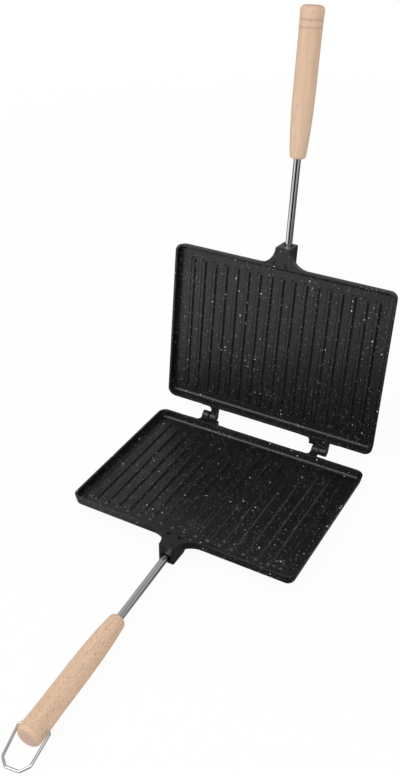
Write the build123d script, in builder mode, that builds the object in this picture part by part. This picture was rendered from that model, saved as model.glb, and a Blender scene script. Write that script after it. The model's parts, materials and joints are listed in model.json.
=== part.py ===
"""Double-sided hinged grill pan (pie iron) with steel rods, turned wooden handles and a wire bail.

Millimetres, +Z up. The origin is the centre of the lower pan's flat underside. X runs along
the hinge, +Y points to the hinge and -Y to the handles. The lower pan lies flat and the upper
pan stands open against its stop.

Both castings are the same shape. The upper one is the lower one turned face down about the
hinge line and then swung open, so every upper piece is made in the lower place and moved.
"""
import os
from math import cos, radians, sin, tan

from build123d import *

# Pan
PAN_WIDTH = 240.0
PAN_DEPTH = 178.0
PAN_HEIGHT = 12.0
PAN_CORNER = 9.0
RIM_WIDTH = 2.6
RIM_ROUND = 0.5
OUTER_DRAFT = 11.0
UNDER_ROUND = 5.0
CAVITY_DEPTH = 8.0
INNER_DRAFT = 15.0
FLOOR_FILLET = 3.5

# Grill ribs
RIB_COUNT = 17
RIB_PITCH = 12.67
RIB_WIDTH = 5.8
RIB_HEIGHT = 1.5
RIB_DRAFT = 45.0
RIB_ROUND = 0.9
RIB_END_MARGIN = 13.6

# Hinge
OPEN_ANGLE = 96.5
PAN_GAP = 0.3
HINGE_REACH = 11.2
HINGE_END_X = 73.0
KNUCKLE_WIDTH = 7.5
KNUCKLE_RADIUS = 5.0
LUG_SIDE_GAP = 1.0
LUG_WIDTH = 7.5
LUG_RADIUS = 4.2
LUG_DEPTH = 5.5
SHOULDER_WIDTH = 13.5
SHOULDER_DEPTH = 8.0
SHOULDER_GAP = 0.3
STOP_GAP = 0.1
HEEL_REACH = 5.8
HINGE_FLARE = 3.5
PIN_DIAMETER = 4.0
PIN_RUN_CLEARANCE = 0.05
PIN_RECESS = 0.2
PIN_CHAMFER = 0.3

# Tang
TANG_LENGTH = 19.0
TANG_HALF_WIDTH = 8.0
TANG_FLARE = 18.0
TANG_UNDER_ROD = 2.9
TANG_RUN_UNDER = 17.0
TANG_ROUND = 1.2
RECESS_SIDE_GAP = 1.2
RECESS_DEPTH = 5.0
MARK_DIAMETER = 5.5
MARK_DEPTH = 1.6
MARK_HALF_SPACING = 6.0
MARK_OUT = 1.5

# Rod, distances measured along it from the pan's front rim
ROD_DIAMETER = 7.0
ROD_DROP = 12.6
ROD_SIDE = -0.6
ROD_SLOPE = 2.1
ROD_SPLAY = 1.25
ROD_SEAT = 2.0
ROD_PIN_DIAMETER = 3.0
ROD_PIN_AT = 6.5
ROD_PIN_LENGTH = 12.0
ROD_PIN_RECESS = 0.4
TENON_DIAMETER = 6.0
TENON_LENGTH = 20.0
TENON_RUN_OUT = 2.0

# Handle
HANDLE_START = 104.2
HANDLE_LENGTH = 135.8
HANDLE_RADIUS_NECK = 9.95
HANDLE_RADIUS_WAIST = 10.65
HANDLE_RADIUS_END = 11.35
NECK_AT = 0.235
WAIST_AT = 0.58
MOUTH_ROUND = 2.5
MOUTH_LIP = 0.3
END_ROUND = 4.5
INSERT_DIAMETER = 9.4
INSERT_LENGTH = 16.0
GROOVE_SPACING = 6.6
GROOVE_RADIUS = 1.7
GROOVE_DEPTH = 0.6

# Bail
WIRE_DIAMETER = 2.6
WIRE_RUN_CLEARANCE = 0.05
BAIL_SETBACK = 12.1
BAIL_ARM = 35.6
BAIL_SIDE_GAP = 2.9
BAIL_TAPER = 2.0
BAIL_SHIFT = 0.6
BAIL_BEND_TOP = 3.0
BAIL_CORNER_CUT = 6.5
BAIL_BEND_BAR = 4.0
BAIL_END_GAP = 4.0
BAIL_DROOP = 15.0

os.makedirs("parts", exist_ok=True)

FRONT_RIM_Y = -PAN_DEPTH / 2
BACK_RIM_Y = PAN_DEPTH / 2
FLOOR_Z = PAN_HEIGHT - CAVITY_DEPTH
HINGE_Y = BACK_RIM_Y + HINGE_REACH
HINGE_Z = PAN_HEIGHT + PAN_GAP / 2
KNUCKLE_X = HINGE_END_X - KNUCKLE_WIDTH
SHOULDER_X = KNUCKLE_X - SHOULDER_WIDTH
SHOULDER_Y = HINGE_Y - LUG_RADIUS - SHOULDER_GAP
LUG_TO = KNUCKLE_X - LUG_SIDE_GAP
LUG_FROM = LUG_TO - LUG_WIDTH
TANG_END_Y = FRONT_RIM_Y - TANG_LENGTH
TANG_UNDER_Z = PAN_HEIGHT - ROD_DROP - ROD_DIAMETER / 2 - TANG_UNDER_ROD
WALL_LAP = 2 * RIM_WIDTH + PAN_HEIGHT * tan(radians(OUTER_DRAFT))
ROOT_LAP = WALL_LAP + UNDER_ROUND

# The heel behind the lug has a flat that lies just short of the other shoulder's end face
# when the pans are open.
STOP_TILT = radians(OPEN_ANGLE - 90)
HEEL_TOP = (LUG_RADIUS + SHOULDER_GAP - STOP_GAP) / cos(STOP_TILT)
HEEL_CORNER = HEEL_TOP - HEEL_REACH * tan(STOP_TILT)

# The rod line starts level with the front rim, dips and leans a little to one side.
ROD_START = Vector(ROD_SIDE, FRONT_RIM_Y, PAN_HEIGHT - ROD_DROP)
ROD_LINE = Vector(
    sin(radians(ROD_SPLAY)) * cos(radians(ROD_SLOPE)),
    -cos(radians(ROD_SPLAY)) * cos(radians(ROD_SLOPE)),
    -sin(radians(ROD_SLOPE)),
)
ROD_ACROSS = Vector(0, 0, 1).cross(ROD_LINE).normalized()
HANDLE_END = HANDLE_START + HANDLE_LENGTH
BAIL_AT = HANDLE_END - BAIL_SETBACK
BAIL_PIVOT = ROD_START + ROD_LINE * BAIL_AT
ROD_PIN_POINT = ROD_START + ROD_LINE * ROD_PIN_AT

# With the pans closed the upper handle lies above and beside the lower one, so the bail's
# cross hole is square to the line between the two.
TO_OTHER_HANDLE = Vector(-BAIL_PIVOT.X, 0, HINGE_Z - BAIL_PIVOT.Z)
BAIL_ACROSS = TO_OTHER_HANDLE.cross(ROD_LINE).normalized()
BAIL_OUT = ROD_LINE.rotate(Axis((0, 0, 0), BAIL_ACROSS), BAIL_DROOP)

GROOVE_BOTTOM = HANDLE_RADIUS_END - GROOVE_DEPTH
BAIL_HALF_TOP = HANDLE_RADIUS_END + BAIL_SIDE_GAP + WIRE_DIAMETER / 2
BAIL_HALF_CUT = BAIL_HALF_TOP - BAIL_TAPER * (1 - BAIL_CORNER_CUT / BAIL_ARM)
BAIL_HALF_BAR = BAIL_HALF_TOP - BAIL_TAPER - BAIL_CORNER_CUT

TOP_PLANE = Plane.XY.offset(PAN_HEIGHT)
ROD_PLANE = Plane(origin=ROD_START, x_dir=ROD_ACROSS, z_dir=ROD_LINE)
TURNING_PLANE = Plane(origin=ROD_START, x_dir=ROD_LINE, z_dir=ROD_ACROSS)
PIVOT_PLANE = Plane(origin=BAIL_PIVOT, x_dir=ROD_LINE, z_dir=BAIL_ACROSS)
BAIL_PLANE = Plane(origin=BAIL_PIVOT, x_dir=BAIL_ACROSS, z_dir=BAIL_ACROSS.cross(BAIL_OUT))
OPEN_PLACE = (
    Pos(0, HINGE_Y, HINGE_Z) * Rot(X=-OPEN_ANGLE) * Rot(Y=180) * Pos(0, -HINGE_Y, -HINGE_Z)
)


def save(shape, name):
    """Label a finished piece and write it to its own STEP file."""
    shape.label = name
    export_step(shape, f"parts/{name}.step")


# Casting: a shallow ribbed pan with a tang in front and two half hinges behind
with BuildPart() as casting:
    with BuildSketch(TOP_PLANE):
        RectangleRounded(PAN_WIDTH, PAN_DEPTH, PAN_CORNER)
    extrude(amount=-PAN_HEIGHT, taper=OUTER_DRAFT)
    fillet(casting.faces().sort_by(Axis.Z)[0].edges(), radius=UNDER_ROUND)
    fillet(casting.faces().sort_by(Axis.Z)[-1].edges(), radius=RIM_ROUND)

    # Tang, with a boss under it for the rod
    with BuildSketch(Plane.YZ):
        Polygon(
            (TANG_END_Y, PAN_HEIGHT),
            (TANG_END_Y, TANG_UNDER_Z),
            (FRONT_RIM_Y, TANG_UNDER_Z),
            (FRONT_RIM_Y + TANG_RUN_UNDER, 0),
            (FRONT_RIM_Y + TANG_RUN_UNDER, FLOOR_Z / 2),
            (FRONT_RIM_Y + RIM_WIDTH, FLOOR_Z / 2),
            (FRONT_RIM_Y + RIM_WIDTH, PAN_HEIGHT),
            align=None,
        )
    extrude(amount=TANG_HALF_WIDTH, both=True)
    fillet(casting.edges().group_by(Axis.Y)[0].filter_by(Axis.Z), radius=TANG_ROUND)

    # Flared root that blends the tang into the drafted wall and the rounded underside
    with BuildPart(mode=Mode.PRIVATE) as tang_root:
        with BuildSketch(Plane(origin=(0, FRONT_RIM_Y, PAN_HEIGHT), x_dir=(-1, 0, 0))):
            with BuildLine():
                Line((0, TANG_FLARE), (TANG_HALF_WIDTH, TANG_FLARE))
                CenterArc((TANG_HALF_WIDTH + TANG_FLARE, TANG_FLARE), TANG_FLARE, 180, 90)
                Polyline(
                    (TANG_HALF_WIDTH + TANG_FLARE, 0),
                    (TANG_HALF_WIDTH + TANG_FLARE + ROOT_LAP, 0),
                    (TANG_HALF_WIDTH + TANG_FLARE + ROOT_LAP, -ROOT_LAP),
                    (0, -ROOT_LAP),
                )
                mirror(about=Plane.YZ)
            make_face()
        extrude(amount=-PAN_HEIGHT, taper=OUTER_DRAFT)
        root_arcs = tang_root.faces().sort_by(Axis.Z)[0].edges().filter_by(GeomType.CIRCLE)
        fillet(root_arcs, radius=UNDER_ROUND)
    add(tang_root.part)

    # Flared roots that blend the shoulder and the lug into the drafted wall
    for root_x, root_y, outward, half_width, flare, depth in (
        (
            -(HINGE_END_X + SHOULDER_X) / 2,
            BACK_RIM_Y,
            1,
            (HINGE_END_X - SHOULDER_X) / 2,
            HINGE_FLARE,
            SHOULDER_DEPTH,
        ),
        ((LUG_FROM + LUG_TO) / 2, BACK_RIM_Y, 1, LUG_WIDTH / 2, HINGE_FLARE, LUG_DEPTH),
    ):
        with BuildSketch(Plane(origin=(root_x, root_y, PAN_HEIGHT), x_dir=(outward, 0, 0))):
            with BuildLine():
                Line((0, flare), (half_width, flare))
                CenterArc((half_width + flare, flare), flare, 180, 90)
                Polyline(
                    (half_width + flare, 0),
                    (half_width + flare + WALL_LAP, 0),
                    (half_width + flare + WALL_LAP, -WALL_LAP),
                    (0, -WALL_LAP),
                )
                mirror(about=Plane.YZ)
            make_face()
        extrude(amount=-depth, taper=OUTER_DRAFT)

    # Arms of the half hinges: knuckle and shoulder on the left, lug on the right
    for arm_from, arm_width, end_y, end_radius, depth in (
        (-HINGE_END_X, KNUCKLE_WIDTH, HINGE_Y, KNUCKLE_RADIUS, SHOULDER_DEPTH),
        (-KNUCKLE_X, SHOULDER_WIDTH, SHOULDER_Y, SHOULDER_DEPTH, SHOULDER_DEPTH),
        (LUG_FROM, LUG_WIDTH, HINGE_Y, LUG_RADIUS, LUG_DEPTH),
    ):
        with BuildSketch(Plane.YZ.offset(arm_from)):
            Polygon(
                (BACK_RIM_Y - RIM_WIDTH, PAN_HEIGHT),
                (end_y, PAN_HEIGHT),
                (end_y, PAN_HEIGHT - end_radius),
                (BACK_RIM_Y, PAN_HEIGHT - depth),
                (BACK_RIM_Y - RIM_WIDTH, PAN_HEIGHT - depth),
                align=None,
            )
        extrude(amount=arm_width)

    # Knuckle, and lug with the heel that acts as the opening stop
    with BuildSketch(Plane.YZ.offset(-HINGE_END_X)):
        with Locations((HINGE_Y, HINGE_Z)):
            Circle(KNUCKLE_RADIUS)
    extrude(amount=KNUCKLE_WIDTH)
    with BuildSketch(Plane.YZ.offset(LUG_FROM)):
        with Locations((HINGE_Y, HINGE_Z)):
            Circle(LUG_RADIUS)
            Polygon(
                (0, HEEL_TOP),
                (HEEL_REACH, HEEL_CORNER),
                (HEEL_REACH, 0),
                (LUG_RADIUS * 0.8, -LUG_RADIUS * 0.6),
                (0, -LUG_RADIUS * 0.6),
                align=None,
            )
    extrude(amount=LUG_WIDTH)

    # Cavity with a filleted floor and a rounded mouth
    with BuildSketch(TOP_PLANE):
        RectangleRounded(
            PAN_WIDTH - 2 * RIM_WIDTH,
            PAN_DEPTH - 2 * RIM_WIDTH,
            PAN_CORNER - RIM_WIDTH,
        )
    extrude(amount=-CAVITY_DEPTH, taper=INNER_DRAFT, mode=Mode.SUBTRACT)
    floor_face = casting.faces(Select.LAST).sort_by(Axis.Z)[0]
    fillet(floor_face.edges(), radius=FLOOR_FILLET)

    # Ribs
    with BuildSketch(Plane.XY.offset(FLOOR_Z)):
        with GridLocations(RIB_PITCH, 0, RIB_COUNT, 1):
            SlotOverall(PAN_DEPTH - 2 * RIB_END_MARGIN, RIB_WIDTH, rotation=90)
    extrude(amount=RIB_HEIGHT, taper=RIB_DRAFT)
    rib_tops = casting.faces().filter_by_position(
        Axis.Z, FLOOR_Z + RIB_HEIGHT, FLOOR_Z + RIB_HEIGHT
    )
    fillet(rib_tops.edges(), radius=RIB_ROUND)

    # Ejector marks on the tang
    with BuildSketch(TOP_PLANE):
        with Locations((0, FRONT_RIM_Y - MARK_OUT)):
            with GridLocations(2 * MARK_HALF_SPACING, 0, 2, 1):
                Circle(MARK_DIAMETER / 2)
    extrude(amount=-MARK_DEPTH, mode=Mode.SUBTRACT)

    # Recess in the end of the tang, then the rod's bore and its pin hole
    with BuildSketch(ROD_PLANE.offset(TANG_LENGTH - RECESS_DEPTH)):
        Circle(ROD_DIAMETER / 2 + RECESS_SIDE_GAP)
    extrude(amount=2 * RECESS_DEPTH, mode=Mode.SUBTRACT)
    with BuildSketch(ROD_PLANE.offset(-ROD_SEAT)):
        Circle(ROD_DIAMETER / 2)
    extrude(amount=ROD_SEAT + TANG_LENGTH, mode=Mode.SUBTRACT)
    with BuildSketch(Plane.XY.offset(TANG_UNDER_Z)):
        with Locations((ROD_PIN_POINT.X, ROD_PIN_POINT.Y)):
            Circle(ROD_PIN_DIAMETER / 2)
    extrude(amount=ROD_PIN_RECESS + ROD_PIN_LENGTH, mode=Mode.SUBTRACT)

    # Hinge bores: tight in the knuckle, running in the lug
    with BuildSketch(Plane.YZ.offset(-HINGE_END_X)):
        with Locations((HINGE_Y, HINGE_Z)):
            Circle(PIN_DIAMETER / 2)
    extrude(amount=KNUCKLE_WIDTH, mode=Mode.SUBTRACT)
    with BuildSketch(Plane.YZ.offset(LUG_FROM)):
        with Locations((HINGE_Y, HINGE_Z)):
            Circle(PIN_DIAMETER / 2 + PIN_RUN_CLEARANCE)
    extrude(amount=LUG_WIDTH, mode=Mode.SUBTRACT)

# Hinge pin, pressed into the knuckle and reaching through the other casting's lug
with BuildPart() as hinge_pin:
    with BuildSketch(Plane.YZ.offset(PIN_RECESS - HINGE_END_X)):
        with Locations((HINGE_Y, HINGE_Z)):
            Circle(PIN_DIAMETER / 2)
    extrude(amount=KNUCKLE_WIDTH + LUG_SIDE_GAP + LUG_WIDTH - 2 * PIN_RECESS)
    chamfer(hinge_pin.edges().filter_by(GeomType.CIRCLE), length=PIN_CHAMFER)

# Rod, turned down at the far end for the handle and cross-drilled for its pin
with BuildPart() as rod:
    with BuildSketch(ROD_PLANE.offset(-ROD_SEAT)):
        Circle(ROD_DIAMETER / 2)
    extrude(amount=ROD_SEAT + HANDLE_START)
    with BuildSketch(ROD_PLANE.offset(HANDLE_START)):
        Circle(TENON_DIAMETER / 2)
    extrude(amount=TENON_LENGTH)
    with BuildSketch(Plane.XY.offset(TANG_UNDER_Z)):
        with Locations((ROD_PIN_POINT.X, ROD_PIN_POINT.Y)):
            Circle(ROD_PIN_DIAMETER / 2)
    extrude(amount=ROD_PIN_RECESS + ROD_PIN_LENGTH, mode=Mode.SUBTRACT)

# Pin that holds the rod in the tang, driven in from below
with BuildPart() as rod_pin:
    with BuildSketch(Plane.XY.offset(TANG_UNDER_Z + ROD_PIN_RECESS)):
        with Locations((ROD_PIN_POINT.X, ROD_PIN_POINT.Y)):
            Circle(ROD_PIN_DIAMETER / 2)
    extrude(amount=ROD_PIN_LENGTH)

# Threaded insert in the mouth of the handle
with BuildPart() as insert:
    with BuildSketch(ROD_PLANE.offset(HANDLE_START)):
        Circle(INSERT_DIAMETER / 2)
        Circle(TENON_DIAMETER / 2, mode=Mode.SUBTRACT)
    extrude(amount=INSERT_LENGTH)

# Turned handles: half profiles with the stepped bore for the insert and the rod
with BuildSketch(TURNING_PLANE) as plain_profile:
    with BuildLine():
        outline = Spline(
            (HANDLE_START, INSERT_DIAMETER / 2 + MOUTH_LIP + MOUTH_ROUND),
            (HANDLE_START + NECK_AT * HANDLE_LENGTH, HANDLE_RADIUS_NECK),
            (HANDLE_START + WAIST_AT * HANDLE_LENGTH, HANDLE_RADIUS_WAIST),
            (HANDLE_END, HANDLE_RADIUS_END),
        )
        Polyline(outline @ 0, (HANDLE_START, 0), (HANDLE_END, 0), outline @ 1)
    make_face()
    fillet(plain_profile.vertices().group_by(Axis.X)[0].sort_by(Axis.Y)[-1], radius=MOUTH_ROUND)
    fillet(plain_profile.vertices().group_by(Axis.X)[-1].sort_by(Axis.Y)[-1], radius=END_ROUND)
    with Locations((HANDLE_START, 0)):
        Rectangle(
            INSERT_LENGTH,
            INSERT_DIAMETER / 2,
            align=(Align.MIN, Align.MIN),
            mode=Mode.SUBTRACT,
        )
        Rectangle(
            TENON_LENGTH + TENON_RUN_OUT,
            TENON_DIAMETER / 2,
            align=(Align.MIN, Align.MIN),
            mode=Mode.SUBTRACT,
        )

with BuildSketch(TURNING_PLANE) as grooved_profile:
    add(plain_profile.sketch_local)
    for distance in (BAIL_AT, BAIL_AT - GROOVE_SPACING):
        with Locations((distance, GROOVE_BOTTOM + GROOVE_RADIUS)):
            Circle(GROOVE_RADIUS, mode=Mode.SUBTRACT)

with BuildPart() as lower_handle:
    revolve(plain_profile.sketch, axis=Axis(ROD_START, ROD_LINE))
    with BuildSketch(PIVOT_PLANE):
        Circle(WIRE_DIAMETER / 2 + WIRE_RUN_CLEARANCE)
    extrude(amount=2 * HANDLE_RADIUS_END, both=True, mode=Mode.SUBTRACT)

with BuildPart() as upper_handle:
    revolve(grooved_profile.sketch, axis=Axis(ROD_START, ROD_LINE))

# Bail: one wire whose ends meet inside the cross hole
with BuildPart() as bail:
    with BuildLine(BAIL_PLANE) as wire:
        Polyline(
            (-BAIL_END_GAP / 2, 0),
            (-BAIL_HALF_TOP - BAIL_SHIFT, 0),
            (-BAIL_HALF_CUT - BAIL_SHIFT, BAIL_ARM - BAIL_CORNER_CUT),
            (-BAIL_HALF_BAR - BAIL_SHIFT, BAIL_ARM),
            (BAIL_HALF_BAR - BAIL_SHIFT, BAIL_ARM),
            (BAIL_HALF_CUT - BAIL_SHIFT, BAIL_ARM - BAIL_CORNER_CUT),
            (BAIL_HALF_TOP - BAIL_SHIFT, 0),
            (BAIL_END_GAP / 2, 0),
        )
        corners = wire.vertices().sort_by_distance(BAIL_PIVOT)
        fillet(corners[2:4], radius=BAIL_BEND_TOP)
        corners = wire.vertices().sort_by_distance(BAIL_PIVOT)
        fillet(corners[-4:], radius=BAIL_BEND_BAR)
    with BuildSketch(Plane(origin=wire.line @ 0, z_dir=wire.line % 0)):
        Circle(WIRE_DIAMETER / 2)
    sweep()

save(casting.part, "lower_pan")
save(hinge_pin.part, "hinge_pin_left")
save(rod.part, "lower_rod")
save(rod_pin.part, "lower_rod_pin")
save(insert.part, "lower_insert")
save(lower_handle.part, "lower_handle")
save(bail.part, "bail")
save(casting.part.moved(OPEN_PLACE), "upper_pan")
save(hinge_pin.part.moved(OPEN_PLACE), "hinge_pin_right")
save(rod.part.moved(OPEN_PLACE), "upper_rod")
save(rod_pin.part.moved(OPEN_PLACE), "upper_rod_pin")
save(insert.part.moved(OPEN_PLACE), "upper_insert")
save(upper_handle.part.moved(OPEN_PLACE), "upper_handle")
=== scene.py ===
"""Open double-sided grill pan (pie iron) with steel rods, beech handles and a wire bail.

Metres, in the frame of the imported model: +Z up, +X along the hinge, -Y towards the handles.
"""
import json
import math

import bpy
from mathutils import Matrix, Vector

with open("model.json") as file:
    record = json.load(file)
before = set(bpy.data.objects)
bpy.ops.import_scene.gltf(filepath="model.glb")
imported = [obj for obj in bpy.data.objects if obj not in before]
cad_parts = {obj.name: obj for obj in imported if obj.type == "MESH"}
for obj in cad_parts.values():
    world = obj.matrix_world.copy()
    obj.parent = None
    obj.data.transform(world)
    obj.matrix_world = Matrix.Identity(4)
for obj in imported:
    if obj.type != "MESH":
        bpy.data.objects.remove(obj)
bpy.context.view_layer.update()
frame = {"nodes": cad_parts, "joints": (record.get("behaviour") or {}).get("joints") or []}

# Camera, matched to the photograph's frame of 400 x 776
CAMERA_PLACE = Vector((0.3465, -0.6828, 0.6226))
CAMERA_FORWARD = Vector((-0.4308, 0.7149, -0.5507))
CAMERA_UP = Vector((-0.2699, 0.4803, 0.8346))
SENSOR_WIDTH = 36.0
FRAME_WIDTH, FRAME_HEIGHT = 400, 776
FOCAL_PIXELS = 968.6
AXIS_PIXEL_X, AXIS_PIXEL_Y = 163.3, 395.6

# Rod line of the lower half, as in the part
ROD_START = Vector((-0.0006, -0.089, -0.0006))
ROD_SLOPE = math.radians(2.1)
ROD_SPLAY = math.radians(1.25)

# Every fade and edge below is (from, to, level at from, level at to), held at its ends

# Coating: darkest and lightest tone of its black, and the level of that black on each pan, where the lower
# pan's smaller level is painted shade on a copy of the same coating
BLACK_TONES = ((0.001, 0.001, 0.0011), (0.0045, 0.0045, 0.0045))
LOWER_SHADED_BLACK, UPPER_BLACK = 0.6, 1.0
COATING_IOR = 1.57
COATING_ROUGHNESS = (0.24, 0.34)
GRAIN_SIZE, GRAIN_HEIGHT = 0.0009, 0.00009
PEEL_SIZE, PEEL_HEIGHT = 0.0035, 0.00016
EDGE_RADIUS = 0.0006

# Specks, from dust to the coarsest: cell, radius, share of the cells that hold one, and tone
SPECKS = (
    (0.0011, 0.00044, 0.55, (0.045, 0.045, 0.045, 1)),
    (0.0019, 0.00054, 0.25, (0.4, 0.4, 0.4, 1)),
    (0.0036, 0.00084, 0.065, (0.95, 0.95, 0.94, 1)),
)

# Specks gather in clouds, and there are fewer of them near the middle of the pan's tang
CLOUD_SIZE = 0.035
TANG_PLACE = Vector((0.0, -0.105, 0.003))
TANG_FADE = (0.02, 0.04, 0.68, 1.0)

# Metals: colour, roughness and size of the marks in it
POLISHED_STEEL = ((0.82, 0.81, 0.80), 0.08, 0.0004)
BRIGHT_WIRE = ((0.84, 0.84, 0.83), 0.08, 0.0003)
BLACKENED_STEEL = ((0.07, 0.07, 0.07), 0.4, 0.0005)
BRASS = ((0.72, 0.53, 0.25), 0.3, 0.0004)
MARK_DARKNESS = 0.86
MARK_HEIGHT = 0.000004

# Beech: darkest and lightest tone of its side and of its end grain, and its marks
BEECH_TONES = ((0.73, 0.50, 0.335), (0.81, 0.585, 0.42))
END_TONES = ((0.66, 0.46, 0.36, 1), (0.57, 0.38, 0.285, 1))
FIBRE_TONE = (0.58, 0.37, 0.235, 1)
FLECK_TONE = (0.36, 0.2, 0.115, 1)
GROOVE_TONE = (0.38, 0.24, 0.16, 1)
BEECH_ROUGHNESS = (0.5, 0.62)
BAND_SIZE, FIBRE_SIZE, PORE_SIZE = 0.006, 0.0009, 0.0008
STROKE_SIZE, FLECK_SIZE = 0.0006, 0.0012
FIBRE_HEIGHT = 0.00006

# Frequency of the bands and fibre, then of the flecks, along the handle as a share of that across
BAND_STRETCH, FLECK_STRETCH = 0.06, 0.22

# Level of each handle's wood, where the upper handle's smaller level is painted shade on a copy of the
# same beech, and how much it is flecked
LOWER_WOOD = (1.0, 0.75)
UPPER_WOOD_SHADED_AND_FLECKED = (0.92, 0.15)

# Scored lines of the upper handle, along the rod line, and their darkening by distance
GROOVES = (0.2279, 0.2213)
GROOVE_FADE = (0.0004, 0.0016, 0.4, 0.0)

# Back edge of the lower pan's flat underside, which the floor touches
UNDERSIDE_BACK = 0.0828

WHITE = (1, 1, 1, 1)

# Studio: directions seen from the part, and the middle of the floor's painted pool of light, a glow that
# the floor shows only in reflections and that fades from there. FLOOR_WHITE is by distance from the
# floor's middle, how white it is to the camera.
BRIGHT_SIDE = Vector((-0.86, -0.51, 0.0))
DARK_GAP = Vector((0.29, -0.96, 0.0))
STRIP_LIGHT = Vector((-0.67, -0.74, 0.0))
BACK_LIGHT = Vector((0.55, 0.71, 0.43))
FLOOR_RADIUS = 1.6
FLOOR_SIDES = 128
FLOOR_CLEARANCE = 0.0002
FLOOR_MATT = (0.9, 0.9, 0.9, 1)
FLOOR_WHITE = (0.5, 1.5, 0.94, 1.0)
PAINTED_POOL_PLACE = Vector((-0.65, -0.75, 0.0))
PAINTED_POOL_FADE = (0.56, 0.88, 1.0, 0.12)
CEILING_EDGE = (0.2, 0.45, 0.0, 1.0)
CEILING_FADE = (-0.8, 0.6, 0.24, 0.57)
GAP_EDGE = (0.88, 0.945, 0.42, 0.005)
STRIP_EDGE = (0.95, 0.985, 0.0, 0.58)
BACK_EDGE = (0.95, 0.985, 0.0, 0.3)
DIFFUSE_LEVEL = 0.7

# Two square lamps aimed at the pans: their side, and each one's place and power in watts
LAMP_SIDE = 1.2
LAMP_TARGET = Vector((0.0, 0.0, 0.05))
KEY_LAMP = (Vector((-0.8, -1.2, 1.2)), 10.0)
FILL_LAMP = (Vector((1.0, -0.9, 1.5)), 7.5)

hinge = next(joint for joint in frame["joints"] if joint["name"] == "pan_hinge")
HINGE_POINT = Vector(hinge["pos_m"])
OPEN_ANGLE = math.radians(hinge["range_deg"][1])
OPEN_PLACE = (
    Matrix.Translation(HINGE_POINT)
    @ Matrix.Rotation(-OPEN_ANGLE, 4, "X")
    @ Matrix.Rotation(math.pi, 4, "Y")
    @ Matrix.Translation(-HINGE_POINT)
)


# Shader helpers


def put(tree, kind, values=None, **settings):
    """Adds a node; values go to its input sockets by name or number, linked where they are sockets."""
    made = tree.nodes.new(kind)
    for key, value in settings.items():
        setattr(made, key, value)
    for socket, value in (values or {}).items():
        if isinstance(value, bpy.types.NodeSocket):
            tree.links.new(value, made.inputs[socket])
        else:
            made.inputs[socket].default_value = value
    return made


def math_node(tree, operation, first, second=0.0):
    """Result socket of a Math node."""
    return put(tree, "ShaderNodeMath", {0: first, 1: second}, operation=operation).outputs[0]


def ramp(tree, value, low, high, to_low=0.0, to_high=1.0):
    """Value mapped from low..high to to_low..to_high, held at the ends."""
    made = put(
        tree,
        "ShaderNodeMapRange",
        {"Value": value, "From Min": low, "From Max": high, "To Min": to_low, "To Max": to_high},
    )
    return made.outputs[0]


def mix_colour(tree, factor, first, second):
    """Colour between first and second: inputs 6, 7 and output 2 are a Mix node's colour sockets."""
    made = put(tree, "ShaderNodeMix", {0: factor, 6: first, 7: second}, data_type="RGBA")
    return made.outputs[2]


def dot(tree, first, second):
    """Dot product of two vectors."""
    made = put(tree, "ShaderNodeVectorMath", {0: first, 1: second}, operation="DOT_PRODUCT")
    return made.outputs["Value"]


def distance(tree, first, second):
    """Distance between two places."""
    made = put(tree, "ShaderNodeVectorMath", {0: first, 1: second}, operation="DISTANCE")
    return made.outputs["Value"]


def toned(level, tones):
    """Colours of a level times each tone."""
    return tuple(tuple(level * channel for channel in tone) + (1,) for tone in tones)


def noise(tree, place, size, detail=3.0):
    """Noise socket with features of a size in metres."""
    made = put(
        tree,
        "ShaderNodeTexNoise",
        {"Vector": place, "Scale": 1.0 / size, "Detail": detail, "Roughness": 0.55},
    )
    return made.outputs["Fac"]


def new_material(name, **uniform):
    """A material with a Principled shader; uniform values go straight to its sockets."""
    material = bpy.data.materials.new(name)
    material.use_nodes = True
    tree = material.node_tree
    tree.nodes.clear()
    shader = put(tree, "ShaderNodeBsdfPrincipled")
    for key, value in uniform.items():
        shader.inputs[key.replace("_", " ")].default_value = value
    output = put(tree, "ShaderNodeOutputMaterial")
    tree.links.new(shader.outputs[0], output.inputs["Surface"])
    place = put(tree, "ShaderNodeTexCoord").outputs["Object"]
    return material, tree, shader, place


def connect(tree, shader, **sockets):
    """Links sockets to the shader's inputs by name."""
    for key, value in sockets.items():
        tree.links.new(value, shader.inputs[key.replace("_", " ")])


def bump(tree, height, full_height, normal=None):
    """Normal socket of a Bump node; full_height is the height's full range in metres."""
    made = put(tree, "ShaderNodeBump", {"Height": height, "Distance": full_height, "Strength": 1.0})
    if normal is not None:
        tree.links.new(normal, made.inputs["Normal"])
    return made.outputs[0]


# Materials


def specks(tree, place, cell, radius, share, cloud):
    """Mask of small round specks: one in a cell, in a share of the cells that is larger where cloud is."""
    cells = put(tree, "ShaderNodeTexVoronoi", {"Vector": place, "Scale": 1.0 / cell})
    inside = ramp(tree, cells.outputs["Distance"], radius / cell, 0.5 * radius / cell)
    parts = put(tree, "ShaderNodeSeparateColor", {0: cells.outputs["Color"]})
    drawn = math_node(tree, "ADD", parts.outputs[0], ramp(tree, cloud, 0.3, 0.7, -share, share))
    chosen = ramp(tree, drawn, 1.0 - share, 1.02 - share)
    level = ramp(tree, parts.outputs[1], 0.0, 1.0, 0.3, 1.0)
    return math_node(tree, "MULTIPLY", math_node(tree, "MULTIPLY", inside, chosen), level)


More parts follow.
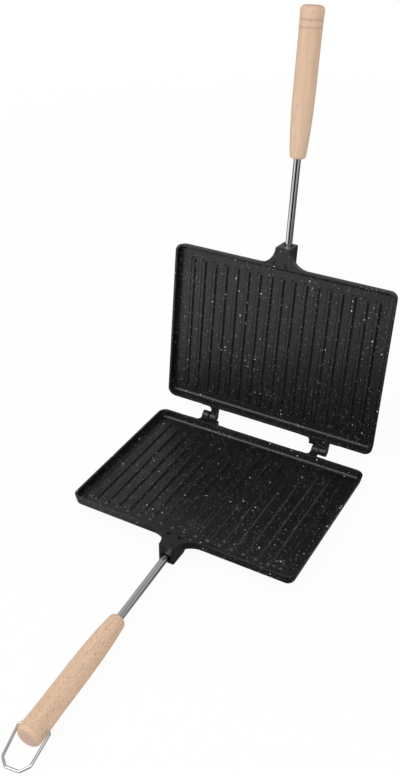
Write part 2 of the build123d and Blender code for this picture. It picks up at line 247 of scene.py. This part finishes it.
def coating_material(name, tang, shaded_black_level):
    """Black non-stick coating with pale specks over cast aluminium, which are fewer about the tang."""
    material, tree, shader, place = new_material(name, IOR=COATING_IOR)
    even = ramp(tree, noise(tree, place, CLOUD_SIZE, 2.0), 0.0, 1.0, 0.2, 0.8)
    cloud = math_node(tree, "MULTIPLY", even, ramp(tree, distance(tree, place, tang), *TANG_FADE))
    grain = noise(tree, place, GRAIN_SIZE, 2.0)
    # The black's level is painted shade on the lower pan, whose copy of the same coating is made darker
    dark, light = toned(shaded_black_level, BLACK_TONES)
    colour = mix_colour(tree, grain, dark, light)
    for cell, radius, share, tone in SPECKS:
        colour = mix_colour(tree, specks(tree, place, cell, radius, share, cloud), colour, tone)
    rough = ramp(tree, grain, 0.3, 0.7, *COATING_ROUGHNESS)
    edge = put(tree, "ShaderNodeBevel", {"Radius": EDGE_RADIUS}, samples=4).outputs[0]
    peel = bump(tree, noise(tree, place, PEEL_SIZE, 1.0), PEEL_HEIGHT, edge)
    surface = bump(tree, grain, GRAIN_HEIGHT, peel)
    connect(tree, shader, Base_Color=colour, Roughness=rough, Normal=surface)
    return material


def metal_material(name, colour, roughness, mark_size):
    """Bare metal with a faint, fine, even mottle."""
    material, tree, shader, place = new_material(name, Metallic=1.0)
    marks = noise(tree, place, mark_size, 2.0)
    (dark,) = toned(MARK_DARKNESS, (colour,))
    tone = mix_colour(tree, marks, dark, colour + (1,))
    rough = ramp(tree, marks, 0.3, 0.7, 0.8 * roughness, 1.2 * roughness)
    connect(tree, shader, Base_Color=tone, Roughness=rough, Normal=bump(tree, marks, MARK_HEIGHT))
    return material


def beech_material(name, turning, level, fleck_share, grooves=()):
    """Sanded beech. turning is the matrix from the handle's own frame, +Z along it, to the model's.

    grooves are the places along that +Z of scored lines, about which the colour is darkened.
    """
    material, tree, shader, place = new_material(name)
    inward = {"Vector": place, "Location": turning.to_translation(), "Rotation": turning.to_euler()}
    turn = put(tree, "ShaderNodeMapping", inward, vector_type="TEXTURE").outputs[0]
    banded, dashed = (
        put(tree, "ShaderNodeMapping", {"Vector": turn, "Scale": (1, 1, stretch)}).outputs[0]
        for stretch in (BAND_STRETCH, FLECK_STRETCH)
    )
    bands = noise(tree, banded, BAND_SIZE)
    fibre = noise(tree, banded, FIBRE_SIZE)
    strokes = ramp(tree, noise(tree, dashed, STROKE_SIZE, 1.0), 0.5, 0.68, 0.0, 0.55 * fleck_share)
    limit = 0.71 - 0.06 * fleck_share
    flecks = ramp(tree, noise(tree, dashed, FLECK_SIZE, 1.0), limit, limit + 0.06, 0.0, 0.8)
    flecks = math_node(tree, "MAXIMUM", strokes, flecks)
    # The level is painted shade on the upper handle, whose copy of the same beech is made darker
    dark, light = toned(level, BEECH_TONES)
    pale = mix_colour(tree, ramp(tree, bands, 0.35, 0.65), dark, light)
    grained = mix_colour(tree, ramp(tree, fibre, 0.35, 0.7, 0.0, 0.35), pale, FIBRE_TONE)
    side = mix_colour(tree, flecks, grained, FLECK_TONE)
    along = put(tree, "ShaderNodeSeparateXYZ", {0: turn}).outputs[2]
    for groove in grooves:
        away = math_node(tree, "ABSOLUTE", math_node(tree, "SUBTRACT", along, groove))
        side = mix_colour(tree, ramp(tree, away, *GROOVE_FADE), side, GROOVE_TONE)
    axis = turning.to_3x3() @ Vector((0, 0, 1))
    facing = dot(tree, put(tree, "ShaderNodeTexCoord").outputs["Normal"], axis)
    end = ramp(tree, math_node(tree, "ABSOLUTE", facing), 0.75, 0.95)
    cut = mix_colour(tree, noise(tree, turn, PORE_SIZE, 2.0), *END_TONES)
    colour = mix_colour(tree, end, side, cut)
    rough = ramp(tree, fibre, 0.3, 0.7, *BEECH_ROUGHNESS)
    normal = bump(tree, math_node(tree, "SUBTRACT", fibre, flecks), FIBRE_HEIGHT)
    connect(tree, shader, Base_Color=colour, Roughness=rough, Normal=normal)
    return material


def finish_nodes():
    """Gives every CAD node its material."""
    rod_steel = metal_material("polished_steel", *POLISHED_STEEL)
    wire_steel = metal_material("bright_wire", *BRIGHT_WIRE)
    pin_steel = metal_material("blackened_steel", *BLACKENED_STEEL)
    brass = metal_material("brass", *BRASS)
    reach = math.cos(ROD_SLOPE)
    line = Vector((math.sin(ROD_SPLAY) * reach, -math.cos(ROD_SPLAY) * reach, -math.sin(ROD_SLOPE)))
    lower_turning = Matrix.Translation(ROD_START) @ line.to_track_quat("Z", "Y").to_matrix().to_4x4()
    upper_turning = OPEN_PLACE @ lower_turning
    materials = {
        "lower_pan": coating_material("coating_lower_shaded", TANG_PLACE, LOWER_SHADED_BLACK),
        "upper_pan": coating_material("coating_upper", OPEN_PLACE @ TANG_PLACE, UPPER_BLACK),
        "hinge_pin_left": pin_steel,
        "hinge_pin_right": pin_steel,
        "lower_rod": rod_steel,
        "upper_rod": rod_steel,
        "lower_rod_pin": pin_steel,
        "upper_rod_pin": pin_steel,
        "lower_insert": brass,
        "upper_insert": brass,
        "lower_handle": beech_material("beech_lower", lower_turning, *LOWER_WOOD),
        "upper_handle": beech_material("beech_upper_shaded", upper_turning, *UPPER_WOOD_SHADED_AND_FLECKED, GROOVES),
        "bail": wire_steel,
    }
    for name, material in materials.items():
        mesh = frame["nodes"][name].data
        mesh.materials.clear()
        mesh.materials.append(material)


# Studio


def add_floor():
    """Pale floor that the open pan lies on: under its back edge and its lower handle. In reflections it
    shows a painted pool of light instead of its own shading.
    """
    underside = frame["nodes"]["lower_handle"].data.vertices
    slope = max(math.atan2(-point.co.z, UNDERSIDE_BACK - point.co.y) for point in underside)
    bpy.ops.mesh.primitive_circle_add(vertices=FLOOR_SIDES, radius=FLOOR_RADIUS, fill_type="NGON")
    floor = bpy.context.object
    floor.name = "floor"
    edge = Matrix.Translation((0, UNDERSIDE_BACK, -FLOOR_CLEARANCE))
    floor.matrix_world = edge @ Matrix.Rotation(slope, 4, "X")
    material = bpy.data.materials.new("pale_floor")
    material.use_nodes = True
    tree = material.node_tree
    tree.nodes.clear()
    place = put(tree, "ShaderNodeTexCoord").outputs["Object"]
    path = put(tree, "ShaderNodeLightPath")
    matt = put(tree, "ShaderNodeBsdfDiffuse", {"Color": FLOOR_MATT})
    white = put(tree, "ShaderNodeEmission", {"Color": WHITE, "Strength": 1.0})
    whiteness = ramp(tree, distance(tree, place, (0, 0, 0)), *FLOOR_WHITE)
    share = math_node(tree, "MULTIPLY", path.outputs["Is Camera Ray"], whiteness)
    seen = put(tree, "ShaderNodeMixShader", {0: share, 1: matt.outputs[0], 2: white.outputs[0]})
    # Painted pool of light: to reflections the floor glows brightest about one place and fades with
    # distance, with no shadow of the object
    painted_pool_level = ramp(tree, distance(tree, place, PAINTED_POOL_PLACE), *PAINTED_POOL_FADE)
    painted_light_pool = put(tree, "ShaderNodeEmission", {"Color": WHITE, "Strength": painted_pool_level})
    mirrored = path.outputs["Is Glossy Ray"]
    both = put(tree, "ShaderNodeMixShader", {0: mirrored, 1: seen.outputs[0], 2: painted_light_pool.outputs[0]})
    put(tree, "ShaderNodeOutputMaterial", {"Surface": both.outputs[0]})
    floor.data.materials.append(material)


def add_world():
    """White to the camera, a soft even light elsewhere, and a studio with dark walls in reflections."""
    world = bpy.data.worlds.new("studio")
    bpy.context.scene.world = world
    world.use_nodes = True
    tree = world.node_tree
    tree.nodes.clear()
    direction = put(tree, "ShaderNodeTexCoord").outputs["Generated"]
    height = put(tree, "ShaderNodeSeparateXYZ", {0: direction}).outputs[2]
    above = ramp(tree, height, *CEILING_EDGE)
    ceiling = ramp(tree, dot(tree, direction, BRIGHT_SIDE), *CEILING_FADE)
    gap = ramp(tree, dot(tree, direction, DARK_GAP), *GAP_EDGE)
    strip = ramp(tree, dot(tree, direction, STRIP_LIGHT), *STRIP_EDGE)
    walls = math_node(tree, "ADD", gap, strip)
    room = put(tree, "ShaderNodeMix", {0: above, 2: walls, 3: ceiling}).outputs[0]
    back = ramp(tree, dot(tree, direction, BACK_LIGHT), *BACK_EDGE)
    studio = math_node(tree, "ADD", room, back)
    path = put(tree, "ShaderNodeLightPath")
    clear = math_node(tree, "ADD", path.outputs["Is Camera Ray"], path.outputs["Is Transmission Ray"])
    plain = ramp(tree, clear, 0.0, 1.0, DIFFUSE_LEVEL, 1.0)
    mixed = put(tree, "ShaderNodeMix", {0: path.outputs["Is Glossy Ray"], 2: plain, 3: studio})
    background = put(tree, "ShaderNodeBackground", {"Color": WHITE, "Strength": mixed.outputs[0]})
    put(tree, "ShaderNodeOutputWorld", {"Surface": background.outputs[0]})


def add_softbox(name, place, power):
    """Square area light aimed at the pans."""
    light = bpy.data.lights.new(name, "AREA")
    light.size = LAMP_SIDE
    light.energy = power
    lamp = bpy.data.objects.new(name, light)
    aim = (LAMP_TARGET - place).to_track_quat("-Z", "Y").to_matrix().to_4x4()
    lamp.matrix_world = Matrix.Translation(place) @ aim
    bpy.context.scene.collection.objects.link(lamp)


def add_camera():
    """Camera at the photograph's viewing angle."""
    data = bpy.data.cameras.new("camera")
    data.sensor_width = SENSOR_WIDTH
    data.lens = FOCAL_PIXELS * SENSOR_WIDTH / FRAME_HEIGHT
    data.shift_x = (FRAME_WIDTH / 2 - AXIS_PIXEL_X) / FRAME_HEIGHT
    data.shift_y = (AXIS_PIXEL_Y - FRAME_HEIGHT / 2) / FRAME_HEIGHT
    data.clip_start = 0.01
    camera = bpy.data.objects.new("camera", data)
    back = -CAMERA_FORWARD.normalized()
    right = CAMERA_UP.cross(back).normalized()
    up = back.cross(right)
    turn = Matrix((right, up, back)).transposed().to_4x4()
    camera.matrix_world = Matrix.Translation(CAMERA_PLACE) @ turn
    bpy.context.scene.collection.objects.link(camera)
    bpy.context.scene.camera = camera


finish_nodes()
add_floor()
add_world()
add_softbox("key", *KEY_LAMP)
add_softbox("fill", *FILL_LAMP)
add_camera()
bpy.context.scene.view_settings.view_transform = "Standard"
